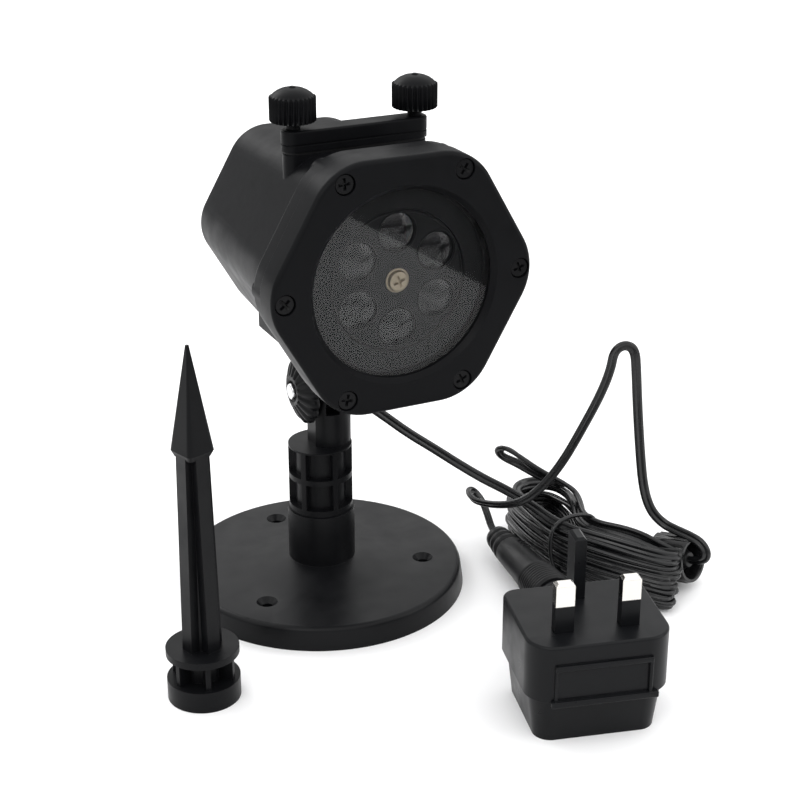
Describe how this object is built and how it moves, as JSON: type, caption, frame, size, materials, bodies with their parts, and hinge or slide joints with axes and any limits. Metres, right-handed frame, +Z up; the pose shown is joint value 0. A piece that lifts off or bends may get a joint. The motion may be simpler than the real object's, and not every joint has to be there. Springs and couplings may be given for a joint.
{
  "type": "light projector stake",
  "caption": "Black hexagonal garden light projector tilting on a disc stand, with a separate ground stake, a hanked twin lead and a plug-in mains adapter.",
  "frame": {"origin": "centre of the base disc's three-screw pattern, on the floor", "axes": "+Z up the stand; the head looks along -Y; +X along the hinge, away from the locking knob"},
  "size_m": [0.2123, 0.1991, 0.2007],
  "materials": {
    "housing_plastic": "satin moulded black, very fine grain",
    "stand_plastic": "satin moulded black",
    "adapter_plastic": "satin moulded grey-black",
    "connector_plastic": "smooth black",
    "cord_jacket": "glossy black twin flex",
    "nickel_plate": "nickel-plated brass, bright",
    "bright_steel": "bright zinc plate",
    "black_steel": "black oxide",
    "clear_glass": "flat clear",
    "lens_resin": "polished clear lens resin",
    "seal_rubber": "soft black",
    "inner_plastic": "matt black",
    "pattern_dye": "colour-printed film",
    "motor_metal": "plain steel can",
    "heat_sink_aluminium": "bare extrusion",
    "board_green": "solder mask",
    "led_yellow": "phosphor"
  },
  "bodies": {
    "stand": {"stand_arm": "stand_plastic", "hinge_nut": "bright_steel", "adapter_top_case": "adapter_plastic", "adapter_lower_case": "adapter_plastic", "mains_pins": "nickel_plate", "pin_sleeves": "adapter_plastic", "earth_pin": "adapter_plastic", "adapter_circuit": "board_green", "output_stub": "adapter_plastic", "link_connector": "connector_plastic", "link_nut": "connector_plastic", "link_lead": "cord_jacket", "link_plug": "connector_plastic", "coupling_nut": "connector_plastic", "lamp_socket": "connector_plastic", "lamp_tail": "cord_jacket", "lamp_lead": "cord_jacket", "lead_hank": "cord_jacket", "hank_tie": "cord_jacket"},
    "base": {"base_disc": "stand_plastic"},
    "head": {"rear_housing": "housing_plastic", "front_bezel": "housing_plastic", "window_glass": "clear_glass", "window_seal": "seal_rubber", "inner_mask": "inner_plastic", "bezel_screws": "black_steel", "wheel_motor": "motor_metal", "motor_bracket": "motor_metal", "led_board": "board_green", "led_emitters": "led_yellow", "condenser_lenses": "lens_resin", "lens_carrier": "inner_plastic", "heat_sink": "heat_sink_aluminium", "driver_board": "board_green", "hinge_lug": "housing_plastic", "lug_screws": "black_steel", "cord_gland": "connector_plastic", "slide_guide": "inner_plastic"},
    "cover": {"slide_cover": "housing_plastic", "slot_gasket": "seal_rubber", "pattern_slide": "inner_plastic", "pattern_film": "pattern_dye"},
    "left_thumb": {"left_thumb_screw": "housing_plastic"},
    "right_thumb": {"right_thumb_screw": "housing_plastic"},
    "wheel": {"lens_wheel": "inner_plastic", "wheel_lenses": "lens_resin", "wheel_screw": "bright_steel"},
    "knob": {"locking_knob": "stand_plastic", "hinge_bolt": "bright_steel", "knob_washer": "bright_steel"},
    "stake_body": {"stake": "stand_plastic"}
  },
  "joints": [
    {"name": "base_swivel", "type": "hinge", "parent": "stand", "child": "base", "pos_m": [0, 0, 0], "axis": [0, 0, 1], "continuous": true},
    {"name": "head_tilt", "type": "hinge", "parent": "stand", "child": "head", "pos_m": [0, 0, 0.08], "axis": [1, 0, 0], "range_deg": [-80, 50], "deforming": ["lamp_lead"]},
    {"name": "wheel_spin", "type": "hinge", "parent": "head", "child": "wheel", "pos_m": [0, -0.0624, 0.142], "axis": [0, -1, 0], "continuous": true},
    {"name": "cover_lift", "type": "slide", "parent": "head", "child": "cover", "axis": [0, 0, 1], "range_m": [0, 0.07]},
    {"name": "left_thumb_turn", "type": "hinge", "parent": "cover", "child": "left_thumb", "pos_m": [-0.0218, -0.0345, 0.1868], "axis": [0, 0, 1], "continuous": true},
    {"name": "right_thumb_turn", "type": "hinge", "parent": "cover", "child": "right_thumb", "pos_m": [0.0218, -0.0345, 0.1868], "axis": [0, 0, 1], "continuous": true},
    {"name": "knob_turn", "type": "hinge", "parent": "stand", "child": "knob", "pos_m": [0, 0, 0.08], "axis": [1, 0, 0], "continuous": true},
    {"name": "stake_lift", "type": "slide", "parent": "stand", "child": "stake_body", "axis": [0, 0, 1], "range_m": [0, 0.15]}
  ]
}
